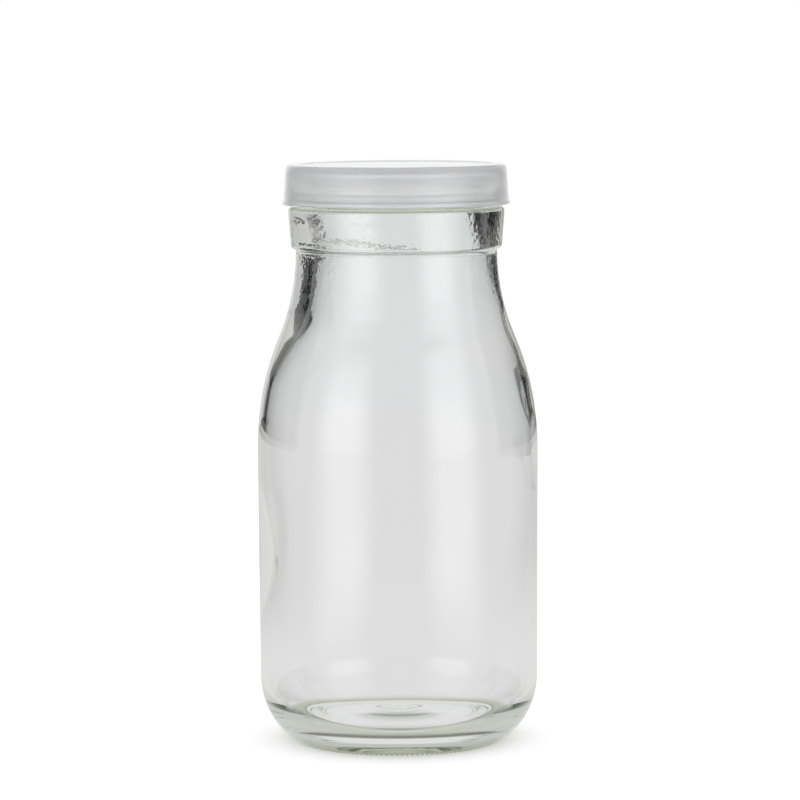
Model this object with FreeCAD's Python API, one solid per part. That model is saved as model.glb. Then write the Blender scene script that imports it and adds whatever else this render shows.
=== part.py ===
import FreeCAD, Part
import math
import os

# Small clear glass milk bottle with a push-on plastic lid.
# Millimetres, +Z up, origin at the centre of the circle the bottle stands on.
# Both pieces are bodies of revolution about Z, drawn as (radius, height) outlines.

# Overall sizes of the bottle
BOTTLE_HEIGHT = 122.0
BODY_DIAMETER = 60.0
BODY_DRAFT = 0.25              # radius lost between the shoulder and the heel
SHOULDER_START = 63.2          # height where the side wall starts to turn in
SHOULDER_SPLIT = 0.56          # convex arc's part of the two shoulder radii

# Base
FOOT_DIAMETER = 44.6           # outer edge of the ring the bottle stands on
FOOT_WIDTH = 1.8               # width of that ring
PUSH_UP = 1.6                  # rise of the underside's middle above the ring
UNDERSIDE_DOME = 0.9           # how far the underside falls from there to the ring
HEEL_RADIUS = 16.3

# Finish, from the rim down
FINISH_DIAMETER = 44.6         # bead that the lid grips
RIM_EDGE = 0.9                 # rounding of the rim, inside and outside
BEAD_HEIGHT = 4.8              # rim to the lower edge of the bead
BEAD_CHAMFER = 0.6             # height of the bead's sloping underside
BEAD_UNDERCUT = 0.7            # radial step from the bead in to the neck
RECESS_HEIGHT = 2.8            # neck left bare between the bead and the collar

# Collar under the lid
COLLAR_OVERHANG = 0.75         # collar's upper edge beyond the bead
COLLAR_TAPER = 0.55            # radius lost down to its lower edge
COLLAR_HEIGHT = 8.9
COLLAR_EDGE = 0.9              # rounding of both collar edges
NECK_STEP = 1.05               # radial step from the collar in to the neck

# Glass walls
NECK_WALL = 2.4
MOUTH_FLARE = 0.6              # bore's extra radius at the rim
BODY_WALL = 1.5
FLOOR_THICKNESS = 3.2          # glass under the middle of the floor
FLOOR_DOME = 0.8               # rise of the floor's middle
FLOOR_RING = 1.9               # width of the flat ring round the domed middle
INNER_HEEL_RADIUS = 9.5

# Lid
LID_PANEL = 1.5                # thickness of the flat top over the rim
LID_WALL = 0.9
LID_EDGE = 1.0                 # rounding of the top's outer edge
LID_RECESS = 0.35              # depth of the top's shallow sunk middle
LID_RECESS_RIM = 2.6           # width of the flat rim round the sunk middle
LID_FIT = 0.3                  # clearance round the bead
LID_GAP = 0.5                  # gap between the skirt and the collar
SKIRT_FLARE = 0.5              # extra radius at the foot of the skirt
LIP_HEIGHT = 0.9
LIP_PROJECTION = 0.25
SNAP_HEIGHT = 1.2              # ring inside the skirt, under the bead
SNAP_FIT = 0.2                 # clearance between that ring and the glass


def point(radius, height):
    return FreeCAD.Vector(radius, 0, height)


def line(start, end):
    return Part.makeLine(start, end)


def arc(centre, radius, start_deg, end_deg):
    """Edge of a circle in the XZ plane, angles measured from +X towards +Z."""
    def at(degrees):
        angle = math.radians(degrees)
        return centre + FreeCAD.Vector(radius * math.cos(angle), 0, radius * math.sin(angle))
    return Part.Arc(at(start_deg), at((start_deg + end_deg) / 2), at(end_deg)).toShape()


def dome(top, radius, drop):
    """Arc from the axis at height `top` out to `radius`, `drop` lower: part of a sphere."""
    sphere = (radius ** 2 + drop ** 2) / (2 * drop)
    edge_deg = math.degrees(math.acos(radius / sphere))
    return arc(point(0, top - sphere), sphere, 90, edge_deg)


def chain(edges, start, end):
    """Add a straight edge unless the two points already meet."""
    if start.distanceToPoint(end) > 1e-6:
        edges.append(line(start, end))


def first(edge):
    return edge.Vertexes[0].Point


def last(edge):
    return edge.Vertexes[-1].Point


def joined(pieces):
    """Run the pieces end to end, closing every gap between them with a straight edge."""
    edges = []
    for piece in pieces:
        if edges:
            chain(edges, last(edges[-1]), first(piece))
        edges.append(piece)
    return edges


def revolve(pieces):
    """Solid of revolution of an outline that starts and ends on the Z axis."""
    edges = joined(pieces)
    chain(edges, last(edges[-1]), first(edges[0]))
    face = Part.Face(Part.Wire(edges))
    solid = face.revolve(FreeCAD.Vector(0, 0, 0), FreeCAD.Vector(0, 0, 1), 360)
    if solid.Volume < 0:
        solid.reverse()
    return solid


def shoulder(wide, narrow, low, high):
    """Two tangent arcs, upright at both ends, from the wide wall up to the narrow neck."""
    step = wide - narrow
    rise = high - low
    radii = (step ** 2 + rise ** 2) / (2 * step)
    convex = radii * SHOULDER_SPLIT
    concave = radii - convex
    turn = math.degrees(math.asin(rise / radii))
    return [
        arc(point(wide - convex, low), convex, 0, turn),
        arc(point(narrow + concave, high), concave, 180 + turn, 180),
    ]


def heel(wall_radius, end_radius, end_height, radius):
    """Arc from (end_radius, end_height) out and up to the upright wall."""
    inset = end_radius - (wall_radius - radius)
    rise = math.sqrt(radius ** 2 - inset ** 2)
    start_deg = -math.degrees(math.acos(inset / radius))
    return arc(point(wall_radius - radius, end_height + rise), radius, start_deg, 0)


# Sizes that follow from the driving ones
body_radius = BODY_DIAMETER / 2
heel_radius = body_radius - BODY_DRAFT
foot_outer = FOOT_DIAMETER / 2
foot_inner = foot_outer - FOOT_WIDTH
bead_radius = FINISH_DIAMETER / 2
finish_neck_radius = bead_radius - BEAD_UNDERCUT
bead_bottom = BOTTLE_HEIGHT - BEAD_HEIGHT
collar_top = bead_bottom - RECESS_HEIGHT
collar_bottom = collar_top - COLLAR_HEIGHT
collar_top_radius = bead_radius + COLLAR_OVERHANG
collar_bottom_radius = collar_top_radius - COLLAR_TAPER
neck_radius = collar_bottom_radius - NECK_STEP
bore_radius = neck_radius - NECK_WALL
mouth_radius = bore_radius + MOUTH_FLARE
cavity_radius = body_radius - BODY_WALL
cavity_heel_radius = cavity_radius - BODY_DRAFT
floor_centre = PUSH_UP + FLOOR_THICKNESS
floor_edge = floor_centre - FLOOR_DOME
floor_radius = cavity_heel_radius - INNER_HEEL_RADIUS - FLOOR_RING
lid_top = BOTTLE_HEIGHT + LID_PANEL
skirt_inner = bead_radius + LID_FIT
skirt_outer = skirt_inner + LID_WALL
skirt_bottom = collar_top + LID_GAP


def bottle_outside():
    """Outline from the middle of the underside, round the heel and up to the rim."""
    underside = dome(PUSH_UP, foot_inner, UNDERSIDE_DOME)
    foot = line(point(foot_inner, 0), point(foot_outer, 0))
    collar_low = point(collar_bottom_radius - COLLAR_EDGE, collar_bottom + COLLAR_EDGE)
    collar_high = point(collar_top_radius - COLLAR_EDGE, collar_top - COLLAR_EDGE)
    rim_high = point(bead_radius - RIM_EDGE, BOTTLE_HEIGHT - RIM_EDGE)
    return [
        underside,
        foot,
        heel(heel_radius, foot_outer, 0, HEEL_RADIUS),
        *shoulder(body_radius, neck_radius, SHOULDER_START, collar_bottom),
        arc(collar_low, COLLAR_EDGE, -90, 0),
        arc(collar_high, COLLAR_EDGE, 0, 90),
        line(point(finish_neck_radius, collar_top), point(finish_neck_radius, bead_bottom)),
        line(point(bead_radius, bead_bottom + BEAD_CHAMFER), first(arc(rim_high, RIM_EDGE, 0, 90))),
        arc(rim_high, RIM_EDGE, 0, 90),
    ]


def bottle_inside():
    """Outline from the rim down the bore and the cavity wall to the middle of the floor."""
    bore_top = point(mouth_radius + RIM_EDGE, BOTTLE_HEIGHT - RIM_EDGE)
    wall = shoulder(cavity_radius, bore_radius, SHOULDER_START, collar_bottom)
    inner_heel = arc(
        point(cavity_heel_radius - INNER_HEEL_RADIUS, floor_edge + INNER_HEEL_RADIUS),
        INNER_HEEL_RADIUS, 0, -90)
    floor = reversed_arc(dome(floor_centre, floor_radius, FLOOR_DOME))
    return [
        arc(bore_top, RIM_EDGE, 90, 180),
        *[reversed_arc(edge) for edge in reversed(wall)],
        inner_heel,
        floor,
    ]


def reversed_arc(edge):
    middle = edge.valueAt((edge.FirstParameter + edge.LastParameter) / 2)
    return Part.Arc(last(edge), middle, first(edge)).toShape()


def make_bottle():
    return revolve(bottle_outside() + bottle_inside())


def make_lid():
    """Flat top with a sunk middle, a flared skirt with a lip, and a snap ring inside."""
    sunk_radius = skirt_outer - LID_RECESS_RIM
    corner = point(skirt_outer - LID_EDGE, lid_top - LID_EDGE)
    lip_top = skirt_bottom + LIP_HEIGHT
    snap_radius = finish_neck_radius + SNAP_FIT
    snap_top = bead_bottom - SNAP_FIT
    snap_bottom = snap_top - SNAP_HEIGHT
    outside = [
        line(point(0, lid_top - LID_RECESS), point(sunk_radius - LID_RECESS, lid_top - LID_RECESS)),
        line(point(sunk_radius, lid_top), point(skirt_outer - LID_EDGE, lid_top)),
        reversed_arc(arc(corner, LID_EDGE, 0, 90)),
        line(point(skirt_outer + SKIRT_FLARE, lip_top),
             point(skirt_outer + SKIRT_FLARE + LIP_PROJECTION, skirt_bottom + LIP_HEIGHT / 3)),
    ]
    inside = [
        line(point(skirt_outer + SKIRT_FLARE, skirt_bottom), point(skirt_inner + SKIRT_FLARE, skirt_bottom)),
        line(point(skirt_inner + SKIRT_FLARE, snap_bottom), point(snap_radius, snap_bottom + SNAP_HEIGHT / 3)),
        line(point(snap_radius, snap_bottom + SNAP_HEIGHT * 2 / 3), point(skirt_inner, bead_bottom + BEAD_CHAMFER)),
        line(point(skirt_inner, BOTTLE_HEIGHT), point(0, BOTTLE_HEIGHT)),
    ]
    return revolve(outside + inside)


os.makedirs("parts", exist_ok=True)
for node, shape in {"bottle": make_bottle(), "lid": make_lid()}.items():
    shape.exportStep(f"parts/{node}.step")
    box = shape.optimalBoundingBox()
    print(node, shape.isValid(), f"volume {shape.Volume:.1f} mm3",
          f"diameter {box.XLength:.2f}", f"z {box.ZMin:.2f} to {box.ZMax:.2f}")
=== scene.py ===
import math

import bpy
from bpy.props import FloatProperty, FloatVectorProperty, IntProperty, PointerProperty
from bpy.types import Operator, Panel, PropertyGroup
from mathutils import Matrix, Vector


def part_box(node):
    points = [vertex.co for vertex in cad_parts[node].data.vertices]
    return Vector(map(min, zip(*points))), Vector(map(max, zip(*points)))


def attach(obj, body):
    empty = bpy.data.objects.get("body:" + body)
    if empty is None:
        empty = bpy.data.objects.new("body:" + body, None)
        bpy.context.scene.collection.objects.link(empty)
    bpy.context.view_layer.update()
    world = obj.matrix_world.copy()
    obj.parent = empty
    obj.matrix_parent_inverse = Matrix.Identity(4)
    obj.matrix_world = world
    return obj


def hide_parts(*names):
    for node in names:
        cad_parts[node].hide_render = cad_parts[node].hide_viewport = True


bl_info = {
    "name": "Small milk bottle",
    "version": (1, 0, 0),
    "blender": (4, 5, 0),
    "location": "3D View > Sidebar > Milk bottle",
    "description": "Clear glass milk bottle with a frosted push-on lid, its floor, light and camera",
    "category": "Add Mesh",
}

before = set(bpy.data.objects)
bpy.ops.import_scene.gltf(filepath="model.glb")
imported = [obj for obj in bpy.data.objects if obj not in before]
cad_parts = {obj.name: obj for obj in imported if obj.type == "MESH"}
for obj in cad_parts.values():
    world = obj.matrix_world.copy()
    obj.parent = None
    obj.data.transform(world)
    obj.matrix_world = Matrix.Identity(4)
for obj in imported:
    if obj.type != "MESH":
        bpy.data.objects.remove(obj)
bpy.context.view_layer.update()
BOTTLE_LOW, BOTTLE_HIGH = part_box("bottle")
LID_LOW, LID_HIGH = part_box("lid")
MM = 0.001
MICRONS = 1e6

# longest straight stretch of each section, steps in its arcs, and steps round the lid and the floor
BOTTLE_STRETCH = 2.2 * MM
BASE_STRETCH = 0.26 * MM
LID_STRETCH = 2.5 * MM
EDGE_STEPS = 7
LONG_STEPS = 26
LID_SEGMENTS = 192
FLOOR_SEGMENTS = 96
FLOOR_RADIUS = 0.75

# the moulded mark under the base: a ring with three dots in it, nearer the back
MARK_CENTRE = (0, 8 * MM, 0)
MARK_RING = 4.6 * MM
MARK_LINE = 0.3 * MM
MARK_DOT = 0.5 * MM
MARK_DOT_GAP = 2 * MM
MARK_RELIEF = 0.3 * MM
MARK_HIGHEST = 1.7 * MM

# where the blown inner wall is off centre, in millimetres: height, reach up and down, push to the right
CAVITY_SHIFTS = ((93, 18, 1.2), (106, 9, 0.5), (45, 30, 0.3))
# its lumps, each with a bearing in degrees: a thick place low on the left, three shallow waves on the right
CAVITY_LUMPS = ((41, 14, 1.1, 180), (88, 6, -0.5, 0), (73, 5, -0.6, 0), (65, 9, 0.5, 0))

# light reflected more often than this inside the glass is replaced by a painted glow of room light, as the
# renderer soon ends it
TRAPPED_AFTER = 3.5
# light is in a reflection when it has been reflected at least once
IN_REFLECTION = 0.5

CAMERA_PLACE = (0.00055, -0.780, 0.151)
CAMERA_DOWN = 5.713
CAMERA_ROLL = -0.33
CAMERA_LENS = 164.84
CAMERA_FILM = 36


# ---------------------------------------------------------------- sizes and looks

def length(label, text, millimetres):
    return FloatProperty(
        name=label, description=text, default=millimetres * MM, unit="LENGTH", subtype="DISTANCE",
        precision=5)


def angle(label, text, degrees):
    return FloatProperty(
        name=label, description=text, default=math.radians(degrees), unit="ROTATION", subtype="ANGLE")


def share(label, text, amount):
    return FloatProperty(name=label, description=text, default=amount, min=0, max=1, subtype="FACTOR")


def colour(label, text, rgb):
    return FloatVectorProperty(name=label, description=text, default=rgb, subtype="COLOR", min=0, max=1)


class BottleShape(PropertyGroup):
    body_draft: length("Body draft", "Radius lost between the shoulder and the heel", 0.25)
    shoulder_start: length("Shoulder start", "Height where the side wall starts to turn in", 63.2)
    shoulder_split: FloatProperty(
        name="Shoulder split", description="Convex arc's part of the two shoulder radii", default=0.56)
    foot_radius: length("Foot radius", "Outer edge of the ring the bottle stands on", 22.3)
    foot_width: length("Foot width", "Width of that ring", 1.8)
    push_up: length("Push-up", "Rise of the underside's middle", 1.6)
    dish_radius: length("Dish radius", "Edge of the shallow dish under the bottle", 16.8)
    heel_radius: length("Heel radius", "Rounding between the side wall and the foot", 16.3)
    bead_radius: length("Bead radius", "Ring at the rim that the lid grips", 22.3)
    bead_height: length("Bead height", "From the rim to the lower edge of the bead", 4.8)
    bead_undercut: length("Bead undercut", "Step from the bead in to the neck", 0.7)
    rim_edge: length("Rim rounding", "Rounding of the rim", 0.9)
    collar_top: length("Collar top", "Depth of the collar's upper edge under the rim", 7.6)
    collar_height: length("Collar height", "Height of the collar", 8.9)
    collar_radius: length("Collar radius", "Radius of the collar's upper edge", 23.05)
    collar_taper: length("Collar taper", "Radius lost down the collar", 0.55)
    collar_edge: length("Collar rounding", "Rounding of the collar's edges", 0.9)
    neck_step: length("Neck step", "Step from the collar in to the neck", 1.05)
    neck_wall: length("Neck wall", "Glass thickness at the neck", 2.4)
    mouth_flare: length("Mouth flare", "Extra radius of the bore at the rim", 0.6)
    body_wall: length("Body wall", "Glass thickness of the side wall", 1.5)
    floor_thickness: length("Floor thickness", "Glass under the middle of the floor", 3.2)
    floor_dome: length("Floor dome", "Rise of the floor's middle", 0.8)
    floor_ring: length("Floor ring", "Flat ring round the floor's domed middle", 1.9)
    inner_heel: length("Inner heel", "Rounding inside the heel", 9.5)
    knurls: IntProperty(name="Knurls", description="Fine ridges round the foot", default=128)
    knurl_depth: length("Knurl depth", "Depth of the grooves in the foot", 0.45)


class LidShape(PropertyGroup):
    wall: length("Wall", "Thickness of the skirt", 0.9)
    edge: length("Edge", "Rounding of the top's outer edge", 1.0)
    fit: length("Fit", "Clearance round the bead", 0.3)
    flare: length("Flare", "Extra radius at the foot of the skirt", 0.5)
    lip: length("Lip", "How far the lip stands out", 0.25)
    lip_height: length("Lip height", "Height of the lip", 0.9)


class GlassLook(PropertyGroup):
    tint: colour("Tint", "Colour left after light has gone a long way in the glass", (0.72, 0.86, 0.66))
    density: FloatProperty(name="Tint density", description="Strength of the tint, per metre", default=7.0)
    # olive shade painted on the collar's edges, the foot and the base mark, standing in for the dark look of
    # thick glass there and of the shaded floor seen through the foot
    painted_edge_shade: colour("Edge tint", "Olive of the collar's edges, foot and base mark", (0.34, 0.37, 0.2))
    peel: share("Orange peel", "Strength of the fine bump on the collar and the neck", 0.35)


class LidLook(PropertyGroup):
    plastic: colour("Plastic", "Colour of the plastic", (0.97, 0.97, 0.98))
    milk: colour("Milky white", "Colour of the plastic seen edge on", (0.97, 0.97, 0.97))
    clearness: share("Clearness", "Part of the light that goes through", 0.7)
    frost: share("Frost", "Roughness of the plastic", 0.15)
    milky_edge: share("Milky edge", "Part of milky white where the lid is seen edge on", 0.85)


class StudioLook(PropertyGroup):
    # the floor's shadow under the foot is painted, round this radius
    contact: length("Contact ring", "Radius where the foot shades the floor", 21.4)
    surround: share("Surround", "Brightness of the pale studio walls", 0.74)
    dimming: share("Dimming", "Brightness left on the walls beside the backdrop", 0.82)
    dim_from: angle("Dimming from", "Direction, off straight back, where the walls start to dim", 7)
    dim_to: angle("Dimming to", "Direction, off straight back, where the walls have dimmed", 19)
    flag: share("Flag", "Brightness of the dark cards beside the backdrop", 0.02)
    card_left: angle("Left card", "Inner edge of the left card at its foot", 14)
    card_right: angle("Right card", "Inner edge of the right card", 11)
    card_outer: angle("Cards' width", "Outer edge of both cards, straight through the glass", 56)
    card_wider: angle("Cards wider", "How much further out that edge is in reflections", 32)
    softbox: FloatProperty(name="Softbox", description="Extra brightness of the softboxes", default=1.2)
    box_at: angle("Softbox direction", "Direction of both softboxes, off straight back", 132)
    box_half: angle("Softbox size", "Half the width of a softbox", 20)
    box_fade: angle("Softbox fade", "Width of a softbox's soft edge", 24)


# ---------------------------------------------------------------- outlines

def arc_points(centre, radius, start_deg, end_deg, steps):
    """Points (radius, height) along an arc, both ends included."""
    points = []
    for i in range(steps + 1):
        angle = math.radians(start_deg + (end_deg - start_deg) * i / steps)
        points.append((centre[0] + radius * math.cos(angle), centre[1] + radius * math.sin(angle)))
    return points


def dome_points(top, radius, drop, steps):
    """Points of a shallow dome from the axis out to `radius`."""
    sphere = (radius ** 2 + drop ** 2) / (2 * drop)
    return arc_points((0, top - sphere), sphere, 90, math.degrees(math.acos(radius / sphere)), steps)


def shoulder_points(wide, narrow, low, high, split, steps):
    """Two tangent arcs, upright at both ends, from the wide wall up to the narrow neck."""
    step = wide - narrow
    rise = high - low
    radii = (step ** 2 + rise ** 2) / (2 * step)
    convex = radii * split
    concave = radii - convex
    turn = math.degrees(math.asin(rise / radii))
    lower = arc_points((wide - convex, low), convex, 0, turn, steps)
    upper = arc_points((narrow + concave, high), concave, 180 + turn, 180, steps)
    return lower + upper[1:]


def floor_points(high, low, radius, steps):
    """Soft swell of the floor, level at its edge and again at the axis, from the edge inwards."""
    points = []
    for i in range(steps + 1):
        share = i / steps
        points.append((radius * (1 - share), low + (high - low) * (1 - math.cos(math.pi * share)) / 2))
    return points


def divided(points, longest):
    """The same line with extra points so that no stretch is longer than `longest`."""
    out = [points[0]]
    for start, end in zip(points, points[1:]):
        count = max(1, math.ceil(math.dist(start, end) / longest))
        for i in range(1, count + 1):
            out.append(tuple(a + (b - a) * i / count for a, b in zip(start, end)))
    return out


def bottle_outline(shape):
    """Outside of the bottle from under its middle up to the rim, then the inside down to its floor."""
    body = BOTTLE_HIGH.x
    top = BOTTLE_HIGH.z
    heel_wall = body - shape.body_draft
    foot_in = shape.foot_radius - shape.foot_width
    inset = shape.foot_radius - (heel_wall - shape.heel_radius)
    heel_rise = math.sqrt(shape.heel_radius ** 2 - inset ** 2)
    heel_deg = -math.degrees(math.acos(inset / shape.heel_radius))
    collar_high = top - shape.collar_top
    collar_low = collar_high - shape.collar_height
    collar_low_radius = shape.collar_radius - shape.collar_taper
    neck = collar_low_radius - shape.neck_step
    finish_neck = shape.bead_radius - shape.bead_undercut
    bead_low = top - shape.bead_height
    edge = shape.collar_edge
    rim = shape.rim_edge
    bore = neck - shape.neck_wall
    mouth = bore + shape.mouth_flare
    cavity = body - shape.body_wall
    cavity_heel = cavity - shape.body_draft
    floor_top = shape.push_up + shape.floor_thickness
    floor_low = floor_top - shape.floor_dome

    # the shallow dish under the bottle and its edge, then the ring the bottle stands on
    dish = shape.dish_radius
    underside = dome_points(shape.push_up, dish - 0.7 * MM, shape.push_up * 0.15, steps=8)
    underside += [(dish - 0.3 * MM, shape.push_up * 0.76), (dish + 0.3 * MM, 0.75 * MM),
                  (dish + 0.8 * MM, 0.6 * MM)]
    outside = divided(underside, BASE_STRETCH)
    outside += [(foot_in - 0.15 * MM, 0.45 * MM), (foot_in + 0.15 * MM, 0.15 * MM), (foot_in + 0.4 * MM, 0),
                (shape.foot_radius - 0.3 * MM, 0)]
    # heel, side wall and shoulder, then the collar
    start = shape.shoulder_start
    split = shape.shoulder_split
    heel_centre = (heel_wall - shape.heel_radius, heel_rise)
    outside += arc_points(heel_centre, shape.heel_radius, heel_deg + 1.2, 0, LONG_STEPS)
    outside += shoulder_points(body, neck, start, collar_low - 0.3 * MM, split, LONG_STEPS)
    outside += arc_points((collar_low_radius - edge, collar_low + edge), edge, -80, 0, EDGE_STEPS)
    outside += arc_points((shape.collar_radius - edge, collar_high - edge), edge, 0, 90, EDGE_STEPS)
    # the recess over the collar, the bead and the rim
    outside += [(finish_neck + 0.2 * MM, collar_high), (finish_neck, collar_high + 0.2 * MM),
                (finish_neck, bead_low)]
    outside += arc_points((shape.bead_radius - 0.5 * MM, bead_low + 0.6 * MM), 0.5 * MM, -60, 0, steps=4)
    outside += arc_points((shape.bead_radius - rim, top - rim), rim, 0, 90, EDGE_STEPS)
    # down inside to the middle of the floor
    inside = arc_points((mouth + rim, top - rim), rim, 90, 180, EDGE_STEPS)
    inside += list(reversed(shoulder_points(cavity, bore, start, collar_low, split, LONG_STEPS)))
    heel_start = cavity_heel - shape.inner_heel
    inside += arc_points((heel_start, floor_low + shape.inner_heel), shape.inner_heel, 0, -90, steps=20)
    inside += floor_points(floor_top, floor_low, heel_start - shape.floor_ring, steps=10)
    return divided(outside, BOTTLE_STRETCH), divided(inside, BOTTLE_STRETCH)


def lid_outline(shape, bottle):
    """Top and outside of the lid from the axis to the skirt's foot, then the inside back to the axis."""
    rim_top = BOTTLE_HIGH.z
    top = LID_HIGH.z
    low = LID_LOW.z
    inner = bottle.bead_radius + shape.fit
    outer = inner + shape.wall
    lip = outer + shape.flare + shape.lip
    snap = bottle.bead_radius - bottle.bead_undercut + 0.2 * MM
    bead_low = rim_top - bottle.bead_height
    sunk = top - 0.35 * MM
    skirt = outer + shape.flare
    outside = [(0, sunk), (outer - 3.1 * MM, sunk), (outer - 2.8 * MM, top - 0.26 * MM),
               (outer - 2.5 * MM, top - 0.08 * MM), (outer - 2.2 * MM, top)]
    outside += arc_points((outer - shape.edge, top - shape.edge), shape.edge, 90, 3, steps=9)
    outside += [(outer + shape.flare * 0.86, low + shape.lip_height * 1.5), (skirt, low + shape.lip_height)]
    outside += [(lip - 0.04 * MM, low + 0.48 * MM), (lip, low + 0.36 * MM),
                (lip - 0.05 * MM, low + 0.22 * MM), (skirt - 0.05 * MM, low + 0.02 * MM),
                (skirt - 0.15 * MM, low)]
    # the inside: flared skirt, snap ring under the bead, then the flat under the top
    flared = inner + shape.flare
    inside = [(flared + 0.1 * MM, low), (flared, low + 0.1 * MM), (flared, bead_low - 1.4 * MM)]
    inside += [(snap + 0.2 * MM, bead_low - 1.1 * MM), (snap, bead_low - 0.9 * MM),
               (snap, bead_low - 0.6 * MM), (snap + 0.2 * MM, bead_low - 0.35 * MM)]
    inside += [(inner, bead_low + 0.6 * MM), (inner, rim_top - 0.15 * MM), (inner - 0.15 * MM, rim_top),
               (0, rim_top)]
    return divided(outside, LID_STRETCH), divided(inside, LID_STRETCH)


# ---------------------------------------------------------------- modelling steps

def deselect_all():
    if bpy.context.object and bpy.context.object.mode != "OBJECT":
        bpy.ops.object.mode_set(mode="OBJECT")
    bpy.ops.object.select_all(action="DESELECT")


def turn_outline(name, outline, segments):
    """Draw the outline from one vertex by extruding it point to point, then spin it about Z."""
    deselect_all()
    bpy.ops.mesh.primitive_circle_add(vertices=3, radius=MM, location=(0, 0, 0))
    piece = bpy.context.object
    piece.name = name
    piece.data.name = name
    bpy.ops.object.mode_set(mode="EDIT")
    bpy.ops.mesh.select_mode(type="VERT")
    bpy.ops.mesh.select_all(action="SELECT")
    bpy.ops.mesh.merge(type="CENTER")
    x, z = outline[0]
    bpy.ops.transform.translate(value=(x, 0, z))
    for (x0, z0), (x1, z1) in zip(outline, outline[1:]):
        bpy.ops.mesh.extrude_region_move(TRANSFORM_OT_translate={"value": (x1 - x0, 0, z1 - z0)})
    bpy.ops.mesh.select_all(action="SELECT")
    bpy.ops.mesh.spin(steps=segments, angle=math.tau, center=(0, 0, 0), axis=(0, 0, 1))
    bpy.ops.mesh.select_all(action="SELECT")
    bpy.ops.mesh.remove_doubles(threshold=1e-6)
    bpy.ops.mesh.select_all(action="SELECT")
    bpy.ops.mesh.normals_make_consistent(inside=False)
    bpy.ops.object.mode_set(mode="OBJECT")
    bpy.ops.object.shade_smooth()
    return piece


def select_verts(piece, wanted):
    """In edit mode, select the vertices that `wanted` picks."""
    deselect_all()
    piece.select_set(True)
    bpy.context.view_layer.objects.active = piece
    bpy.ops.object.mode_set(mode="EDIT")
    bpy.ops.mesh.select_mode(type="VERT")
    bpy.ops.mesh.select_all(action="DESELECT")
    bpy.ops.object.mode_set(mode="OBJECT")
    for vert in piece.data.vertices:
        vert.select = bool(wanted(vert))
    bpy.ops.object.mode_set(mode="EDIT")


def knurl_foot(bottle, shape):
    """Lift every second row of the foot's vertices, which leaves one fine ridge between two grooves."""
    step = math.tau / (2 * shape.knurls)
    inner = shape.foot_radius - shape.foot_width - 0.05 * MM

    def in_groove(vert):
        radius = math.hypot(vert.co.x, vert.co.y)
        row = round(math.atan2(vert.co.y, vert.co.x) / step)
        return row % 2 == 0 and vert.co.z < 0.3 * MM and inner < radius < shape.foot_radius + 0.3 * MM

    select_verts(bottle, in_groove)
    bpy.ops.transform.translate(value=(0, 0, shape.knurl_depth))
    bpy.ops.object.mode_set(mode="OBJECT")


def emboss_base(bottle):
    """Raise a plain ring with three dots in it on the underside, nearer the back."""
    back = MARK_CENTRE[1]
    dots = [side * MARK_DOT_GAP for side in (-1, 0, 1)]

    def on_mark(vert):
        if vert.co.z > MARK_HIGHEST:
            return False
        away = math.hypot(vert.co.x, vert.co.y - back)
        on_dot = any(math.hypot(vert.co.x - x, vert.co.y - back) < MARK_DOT for x in dots)
        return abs(away - MARK_RING) < MARK_LINE or on_dot

    select_verts(bottle, on_mark)
    bpy.ops.transform.translate(value=(0, 0, -MARK_RELIEF))
    bpy.ops.object.mode_set(mode="OBJECT")


def mark_group(piece, name, outline):
    """Put the vertices of the given stretch of outline into a vertex group."""
    places = set()
    for radius, height in outline:
        for dr in (-1, 0, 1):
            for dz in (-1, 0, 1):
                places.add((round(radius * MICRONS) + dr, round(height * MICRONS) + dz))

    def on_outline(vert):
        off_axis = math.hypot(vert.co.x, vert.co.y)
        return (round(off_axis * MICRONS), round(vert.co.z * MICRONS)) in places

    select_verts(piece, on_outline)
    piece.vertex_groups.new(name=name)
    bpy.ops.object.vertex_group_assign()
    bpy.ops.object.mode_set(mode="OBJECT")


def push_ring(piece, group, height, reach, push, bearing=None):
    """Push the group's ring nearest to a height sideways, its neighbours following less and less.

    With a bearing, only the vertex of the ring that lies that way is taken hold of.
    """
    index = piece.vertex_groups[group].index
    members = {v.index for v in piece.data.vertices if any(g.group == index for g in v.groups)}
    level = min((piece.data.vertices[i].co.z for i in members), key=lambda z: abs(z - height))
    same_vertex = math.tau / 400

    def held(vert):
        if vert.index not in members or abs(vert.co.z - level) > 1e-6:
            return False
        if bearing is None:
            return True
        off = math.atan2(vert.co.y, vert.co.x) - bearing
        return abs((off + math.pi) % math.tau - math.pi) < same_vertex

    select_verts(piece, lambda v: v.index in members)
    bpy.ops.mesh.hide(unselected=True)
    bpy.ops.object.mode_set(mode="OBJECT")
    select_verts(piece, held)
    bpy.ops.transform.translate(
        value=push, use_proportional_edit=True, proportional_edit_falloff="SMOOTH", proportional_size=reach)
    bpy.ops.mesh.reveal(select=False)
    bpy.ops.object.mode_set(mode="OBJECT")


def shift_cavity(bottle):
    """Push the inner wall sideways where the blown glass is uneven."""
    for height, reach, push in CAVITY_SHIFTS:
        push_ring(bottle, "cavity", height * MM, reach * MM, (push * MM, 0, 0))
    for height, reach, push, bearing in CAVITY_LUMPS:
        push_ring(bottle, "cavity", height * MM, reach * MM, (push * MM, 0, 0), math.radians(bearing))


# ---------------------------------------------------------------- material nodes

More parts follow.
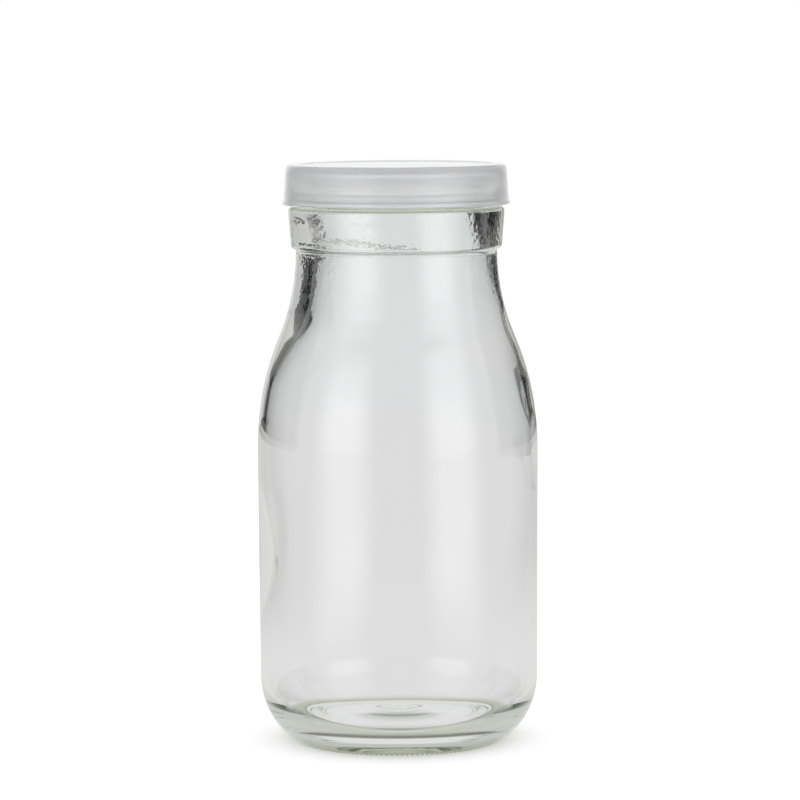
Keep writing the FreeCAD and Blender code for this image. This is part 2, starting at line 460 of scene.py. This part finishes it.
class Graph:
    """Adds nodes to one node tree."""

    def __init__(self, tree):
        self.tree = tree
        tree.nodes.clear()

    def add(self, kind, inputs=None, **settings):
        node = self.tree.nodes.new(kind)
        for key, value in settings.items():
            setattr(node, key, value)
        for key, value in (inputs or {}).items():
            self.feed(node.inputs[key], value)
        return node

    def feed(self, socket, value):
        if isinstance(value, bpy.types.NodeSocket):
            self.tree.links.new(value, socket)
        else:
            socket.default_value = value

    def math(self, operation, *values):
        node = self.add("ShaderNodeMath", {i: v for i, v in enumerate(values)}, operation=operation)
        return node.outputs[0]

    def product(self, *values):
        """All the values multiplied together."""
        result = values[0]
        for value in values[1:]:
            result = self.math("MULTIPLY", result, value)
        return result

    def ramp(self, value, low, high, out_low=0.0, out_high=1.0):
        """Smooth step of a value from low to high."""
        node = self.add(
            "ShaderNodeMapRange",
            {"Value": value, "From Min": low, "From Max": high, "To Min": out_low, "To Max": out_high},
            interpolation_type="SMOOTHSTEP")
        return node.outputs["Result"]

    def band(self, value, centre, half, soft):
        """1 where the value is within `half` of the centre, fading to 0 over `soft`."""
        away = self.math("ABSOLUTE", self.math("SUBTRACT", value, centre))
        return self.ramp(away, half - soft / 2, half + soft / 2, 1.0, 0.0)

    def between(self, factor, first, second):
        """From the first value to the second as the factor goes from 0 to 1."""
        node = self.add("ShaderNodeMix", {"Factor": factor, "A": first, "B": second}, data_type="FLOAT")
        return node.outputs["Result"]

    def blend(self, factor, first, second):
        """From the first colour to the second as the factor goes from 0 to 1."""
        node = self.add("ShaderNodeMix", {"Factor": factor, 6: first, 7: second}, data_type="RGBA")
        return node.outputs[2]

    def mixed(self, factor, first, second):
        """From the first shader to the second as the factor goes from 0 to 1."""
        return self.add("ShaderNodeMixShader", {0: factor, 1: first, 2: second}).outputs[0]

    def off_axis(self, place):
        """The place with its height left out, and its distance from the bottle's axis."""
        flat = self.add("ShaderNodeVectorMath", {0: place, 1: (1, 1, 0)}, operation="MULTIPLY").outputs[0]
        return flat, self.add("ShaderNodeVectorMath", {0: flat}, operation="LENGTH").outputs["Value"]

    def turn(self, x, y):
        """Direction off straight back, positive to the right, and the same without its sign."""
        turned = self.math("ARCTAN2", x, y)
        return turned, self.math("ABSOLUTE", turned)


def orange_peel(graph, place, height, strength):
    """Fine bump of the collar and the neck, which fades out down the shoulder."""
    grain = graph.add("ShaderNodeTexNoise", {
        "Vector": place, "Scale": 900.0, "Detail": 1.0, "Roughness": 0.5})
    bump = graph.add("ShaderNodeBump", {
        "Strength": graph.product(graph.ramp(height, 88 * MM, 106 * MM), strength), "Distance": 0.1 * MM,
        "Height": grain.outputs[0]})
    return bump.outputs[0]


def painted_shade_places(graph, place, height, shape):
    """Mask of the olive shade painted on the glass: 1 on the collar's upper edge and the foot, less on its
    lower edge and the base mark, 0 elsewhere.
    """
    collar_high = BOTTLE_HIGH.z - shape.collar_top
    upper = graph.band(height, collar_high - 0.2 * MM, 0.25 * MM, 0.3 * MM)
    lower = graph.product(graph.band(height, collar_high - shape.collar_height, 0.15 * MM, 0.3 * MM), 0.4)
    flat, radius = graph.off_axis(place)
    # painted shade on the foot, for the shaded floor seen through it
    foot = graph.product(graph.ramp(height, 3.2 * MM, 0.8 * MM), graph.ramp(radius, 20 * MM, 21.5 * MM))
    from_mark = graph.add("ShaderNodeVectorMath", {0: flat, 1: MARK_CENTRE}, operation="DISTANCE")
    mark = graph.product(graph.band(from_mark.outputs["Value"], MARK_RING, 0.25 * MM, 0.3 * MM),
                         graph.ramp(height, 2.2 * MM, 1.8 * MM), 0.5)
    most = graph.math("MAXIMUM", upper, lower)
    for other in (foot, mark):
        most = graph.math("MAXIMUM", most, other)
    return most


def painted_room_glow(graph, height, surround):
    """Glow painted on the glass as light of the pale room, dimmer and olive towards the foot as painted
    shade.
    """
    # painted shade: the glow turns dark olive and dims towards the foot, standing in for the shaded floor
    # under it
    shade = graph.blend(graph.ramp(height, 0.2 * MM, 3 * MM), (0.10, 0.12, 0.05, 1), (1, 0.995, 0.97, 1))
    strength = graph.ramp(height, 1.0 * MM, 14 * MM, 0.7 * surround, surround)
    return graph.add("ShaderNodeEmission", {"Color": shade, "Strength": strength}).outputs[0]


def glass_material(look, shape, surround):
    """Clear glass with olive shade painted at its edges and foot; light trapped in it for long leaves as a
    painted glow of room light.
    """
    material = bpy.data.materials.new("clear_glass")
    material.use_nodes = True
    graph = Graph(material.node_tree)
    place = graph.add("ShaderNodeTexCoord").outputs["Object"]
    height = graph.add("ShaderNodeSeparateXYZ", {0: place}).outputs[2]
    # the base colour carries the painted olive shade
    painted_shade_colour = graph.blend(painted_shade_places(graph, place, height, shape), (1, 1, 1, 1), (*look.painted_edge_shade, 1))
    principled = graph.add("ShaderNodeBsdfPrincipled", {
        "Base Color": painted_shade_colour, "Roughness": 0.0, "IOR": 1.52, "Transmission Weight": 1.0,
        "Normal": orange_peel(graph, place, height, look.peel)})
    tint = graph.add("ShaderNodeVolumeAbsorption", {"Color": (*look.tint, 1), "Density": look.density})
    path = graph.add("ShaderNodeLightPath")
    trapped = graph.math("GREATER_THAN", path.outputs["Glossy Depth"], TRAPPED_AFTER)
    glass = graph.mixed(trapped, principled.outputs[0], painted_room_glow(graph, height, surround))
    clear = graph.add("ShaderNodeBsdfTransparent", {"Color": (0.93, 0.94, 0.93, 1)}).outputs[0]
    surface = graph.mixed(path.outputs["Is Shadow Ray"], glass, clear)
    graph.add("ShaderNodeOutputMaterial", {"Surface": surface, "Volume": tint.outputs[0]})
    return material


def lid_material(look):
    """Frosted plastic that lets most light through, and is milky white where it is seen edge on."""
    material = bpy.data.materials.new("frosted_plastic")
    material.use_nodes = True
    graph = Graph(material.node_tree)
    principled = graph.add("ShaderNodeBsdfPrincipled", {
        "Base Color": (*look.plastic, 1), "Roughness": look.frost, "IOR": 1.3,
        "Transmission Weight": look.clearness})
    milky = graph.add("ShaderNodeBsdfDiffuse", {"Color": (*look.milk, 1)}).outputs[0]
    facing = graph.add("ShaderNodeLayerWeight", {"Blend": 0.5}).outputs["Facing"]
    body = graph.mixed(graph.ramp(facing, 0.55, 1.0, 0.0, look.milky_edge), principled.outputs[0], milky)
    clear = graph.add("ShaderNodeBsdfTransparent", {"Color": (0.8, 0.8, 0.8, 1)}).outputs[0]
    path = graph.add("ShaderNodeLightPath")
    surface = graph.mixed(path.outputs["Is Shadow Ray"], body, clear)
    graph.add("ShaderNodeOutputMaterial", {"Surface": surface})
    return material


def floor_material(look):
    """White floor to the camera; to the glass it glows as the pale room's floor, with a shadow painted under
    the foot.

    The softboxes' light is painted on it in reflections only. The cards' far ends are painted on it as dark
    patches, straight through the glass only.
    """
    material = bpy.data.materials.new("white_floor")
    material.use_nodes = True
    graph = Graph(material.node_tree)
    deg = math.radians
    path = graph.add("ShaderNodeLightPath")
    mirrored = graph.math("GREATER_THAN", path.outputs["Glossy Depth"], IN_REFLECTION)
    straight = graph.math("SUBTRACT", 1.0, mirrored)
    place = graph.add("ShaderNodeTexCoord").outputs["Object"]
    x, y, _ = graph.add("ShaderNodeSeparateXYZ", {0: place}).outputs
    _, radius = graph.off_axis(place)
    turned, azimuth = graph.turn(x, y)

    # a shadow painted on the floor under the foot, for rays through the glass
    contact = graph.band(radius, look.contact, 0.9 * MM, 1.2 * MM)
    shade = graph.math("MULTIPLY_ADD", contact, -0.6 * look.surround, look.surround)
    # the softboxes' light painted on the floor, seen in reflections only
    painted_softbox_light = graph.product(graph.band(azimuth, look.box_at, look.box_half, look.box_fade),
                          graph.ramp(radius, 0.1, 0.24), mirrored)
    shade = graph.math("MULTIPLY_ADD", painted_softbox_light, 0.75 * look.softbox, shade)
    # dark patches painted on the floor where the cards' far ends would lie, seen straight through the glass
    # only
    painted_card_patches = graph.between(
        graph.ramp(turned, -0.05, 0.05), graph.ramp(radius, 0.45, 0.75), graph.ramp(radius, 0.25, 0.55))
    painted_card_patches = graph.product(painted_card_patches, graph.band(azimuth, deg(40), deg(16), deg(8)), straight)
    shade = graph.product(shade, graph.math("MULTIPLY_ADD", painted_card_patches, -0.97, 1.0))
    # the floor's sides painted dimmer, like the walls beside the backdrop
    dimmed = graph.product(graph.ramp(azimuth, look.dim_from, look.dim_to), graph.ramp(radius, 0.1, 0.3))
    shade = graph.product(shade, graph.math("MULTIPLY_ADD", dimmed, look.dimming - 1.0, 1.0))
    to_glass = graph.add("ShaderNodeEmission", {"Color": (1, 1, 1, 1), "Strength": shade}).outputs[0]

    matte = graph.add("ShaderNodeBsdfDiffuse", {"Color": (0.8, 0.8, 0.8, 1)})
    glow = graph.add("ShaderNodeEmission", {"Color": (1, 1, 1, 1), "Strength": 0.4})
    to_camera = graph.add("ShaderNodeAddShader", {0: matte.outputs[0], 1: glow.outputs[0]}).outputs[0]
    surface = graph.mixed(path.outputs["Is Camera Ray"], to_glass, to_camera)
    graph.add("ShaderNodeOutputMaterial", {"Surface": surface})
    return material


def studio_world(look):
    """White to the camera and matte surfaces; to the glass a pale room with dark cards beside the backdrop.

    Two front softboxes show in reflections only. A card behind on the left and one on the right show straight
    through the glass only. Directions are off straight back, positive to the right.
    """
    world = bpy.data.worlds.new("studio")
    world.use_nodes = True
    graph = Graph(world.node_tree)
    deg = math.radians
    path = graph.add("ShaderNodeLightPath")
    mirrored = graph.math("GREATER_THAN", path.outputs["Glossy Depth"], IN_REFLECTION)
    straight = graph.math("SUBTRACT", 1.0, mirrored)
    x, y, z = graph.add("ShaderNodeSeparateXYZ", {
        0: graph.add("ShaderNodeTexCoord").outputs["Generated"]}).outputs
    turned, azimuth = graph.turn(x, y)
    elevation = graph.math("ARCSINE", z)

    # the two cards; the left one's inner edge steps out just under the horizon and partly back above it
    off_floor = graph.ramp(elevation, deg(-9.5), deg(-7))
    left_edge = graph.math(
        "ADD", graph.ramp(elevation, deg(-5.5), deg(-3.5), look.card_left, look.card_left + deg(10)),
        graph.ramp(elevation, deg(4), deg(9), 0.0, deg(-8)))
    inner_edge = graph.between(graph.ramp(turned, deg(-5), deg(5)), left_edge, look.card_right)
    outer_edge = graph.math("MULTIPLY_ADD", mirrored, look.card_wider, look.card_outer)
    card = graph.product(graph.ramp(graph.math("SUBTRACT", azimuth, inner_edge), 0.0, deg(3)), off_floor,
                         graph.ramp(graph.math("SUBTRACT", azimuth, outer_edge), deg(2), deg(-2)))
    others = graph.math("MAXIMUM", graph.band(turned, deg(-128), deg(19), deg(4)),
                        graph.band(turned, deg(95), deg(17), deg(4)))
    card = graph.math("MAXIMUM", card, graph.product(others, straight, off_floor))
    card = graph.product(card, graph.ramp(elevation, deg(28), deg(42), 1.0, 0.0))

    tall = graph.product(graph.ramp(elevation, deg(42), deg(32)),
                         graph.ramp(elevation, deg(-8), deg(2), 0.75, 1.0))
    softboxes = graph.product(graph.band(azimuth, look.box_at, look.box_half, look.box_fade), tall, mirrored)
    wall = graph.ramp(azimuth, look.dim_from, look.dim_to, look.surround, look.surround * look.dimming)
    room = graph.math("MULTIPLY_ADD", softboxes, look.softbox, graph.between(card, wall, look.flag))

    white = graph.math("MAXIMUM", path.outputs["Is Camera Ray"], path.outputs["Is Diffuse Ray"])
    back = graph.add("ShaderNodeBackground", {
        "Color": graph.blend(white, (0.985, 0.988, 1, 1), (1, 1, 1, 1)),
        "Strength": graph.between(white, room, 1.0)})
    graph.add("ShaderNodeOutputWorld", {"Surface": back.outputs[0]})
    return world


# ---------------------------------------------------------------- operators

class MILKBOTTLE_OT_glass(Operator):
    """Model the bottle: spin its section, knurl its foot, mark its base and push its inner wall uneven"""
    bl_idname = "milk_bottle.glass"
    bl_label = "Glass bottle"

    def execute(self, context):
        scene = context.scene
        shape = scene.bottle_shape
        outside, inside = bottle_outline(shape)
        bottle = turn_outline("glass_bottle", outside + inside, 2 * shape.knurls)
        mark_group(bottle, "cavity", inside)
        knurl_foot(bottle, shape)
        emboss_base(bottle)
        shift_cavity(bottle)
        bottle.data.materials.append(glass_material(scene.glass_look, shape, scene.studio_look.surround))
        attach(bottle, "root")
        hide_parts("bottle")
        return {"FINISHED"}


class MILKBOTTLE_OT_lid(Operator):
    """Model the push-on lid"""
    bl_idname = "milk_bottle.lid"
    bl_label = "Plastic lid"

    def execute(self, context):
        outside, inside = lid_outline(context.scene.lid_shape, context.scene.bottle_shape)
        lid = turn_outline("push_on_lid", outside + inside, LID_SEGMENTS)
        lid.data.materials.append(lid_material(context.scene.lid_look))
        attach(lid, "root")
        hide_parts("lid")
        return {"FINISHED"}


class MILKBOTTLE_OT_stage(Operator):
    """Set out the pale floor, the studio light and the camera"""
    bl_idname = "milk_bottle.stage"
    bl_label = "Floor, light and camera"

    def execute(self, context):
        look = context.scene.studio_look
        deselect_all()
        bpy.ops.mesh.primitive_circle_add(
            vertices=FLOOR_SEGMENTS, radius=FLOOR_RADIUS, fill_type="NGON", location=(0, 0, 0))
        floor = context.object
        floor.name = "floor"
        floor.data.materials.append(floor_material(look))
        context.scene.world = studio_world(look)
        deselect_all()
        bpy.ops.object.camera_add(location=CAMERA_PLACE, rotation=(math.radians(90 - CAMERA_DOWN), 0, 0))
        camera = context.object
        camera.name = "camera"
        camera.data.lens = CAMERA_LENS
        camera.data.sensor_width = CAMERA_FILM
        camera.data.clip_start = 0.05
        camera.rotation_euler.rotate_axis("Z", math.radians(CAMERA_ROLL))
        context.scene.camera = camera
        context.scene.view_settings.view_transform = "Standard"
        return {"FINISHED"}


class MILKBOTTLE_PT_sidebar(Panel):
    bl_label = "Milk bottle"
    bl_space_type = "VIEW_3D"
    bl_region_type = "UI"
    bl_category = "Milk bottle"

    def draw(self, context):
        for operator in OPERATORS:
            self.layout.operator(operator.bl_idname)
        for name in GROUPS:
            group = getattr(context.scene, name)
            box = self.layout.box()
            for key in group.__annotations__:
                box.prop(group, key)


GROUPS = {
    "bottle_shape": BottleShape,
    "lid_shape": LidShape,
    "glass_look": GlassLook,
    "lid_look": LidLook,
    "studio_look": StudioLook,
}
OPERATORS = (MILKBOTTLE_OT_glass, MILKBOTTLE_OT_lid, MILKBOTTLE_OT_stage)


def register():
    for group in GROUPS.values():
        bpy.utils.register_class(group)
    for name, group in GROUPS.items():
        setattr(bpy.types.Scene, name, PointerProperty(type=group))
    for item in (*OPERATORS, MILKBOTTLE_PT_sidebar):
        bpy.utils.register_class(item)


def unregister():
    for item in reversed((*OPERATORS, MILKBOTTLE_PT_sidebar)):
        bpy.utils.unregister_class(item)
    for name in GROUPS:
        delattr(bpy.types.Scene, name)
    for group in reversed(list(GROUPS.values())):
        bpy.utils.unregister_class(group)


def main():
    register()
    bpy.ops.milk_bottle.glass()
    bpy.ops.milk_bottle.lid()
    bpy.ops.milk_bottle.stage()


if __name__ == "__main__":
    main()
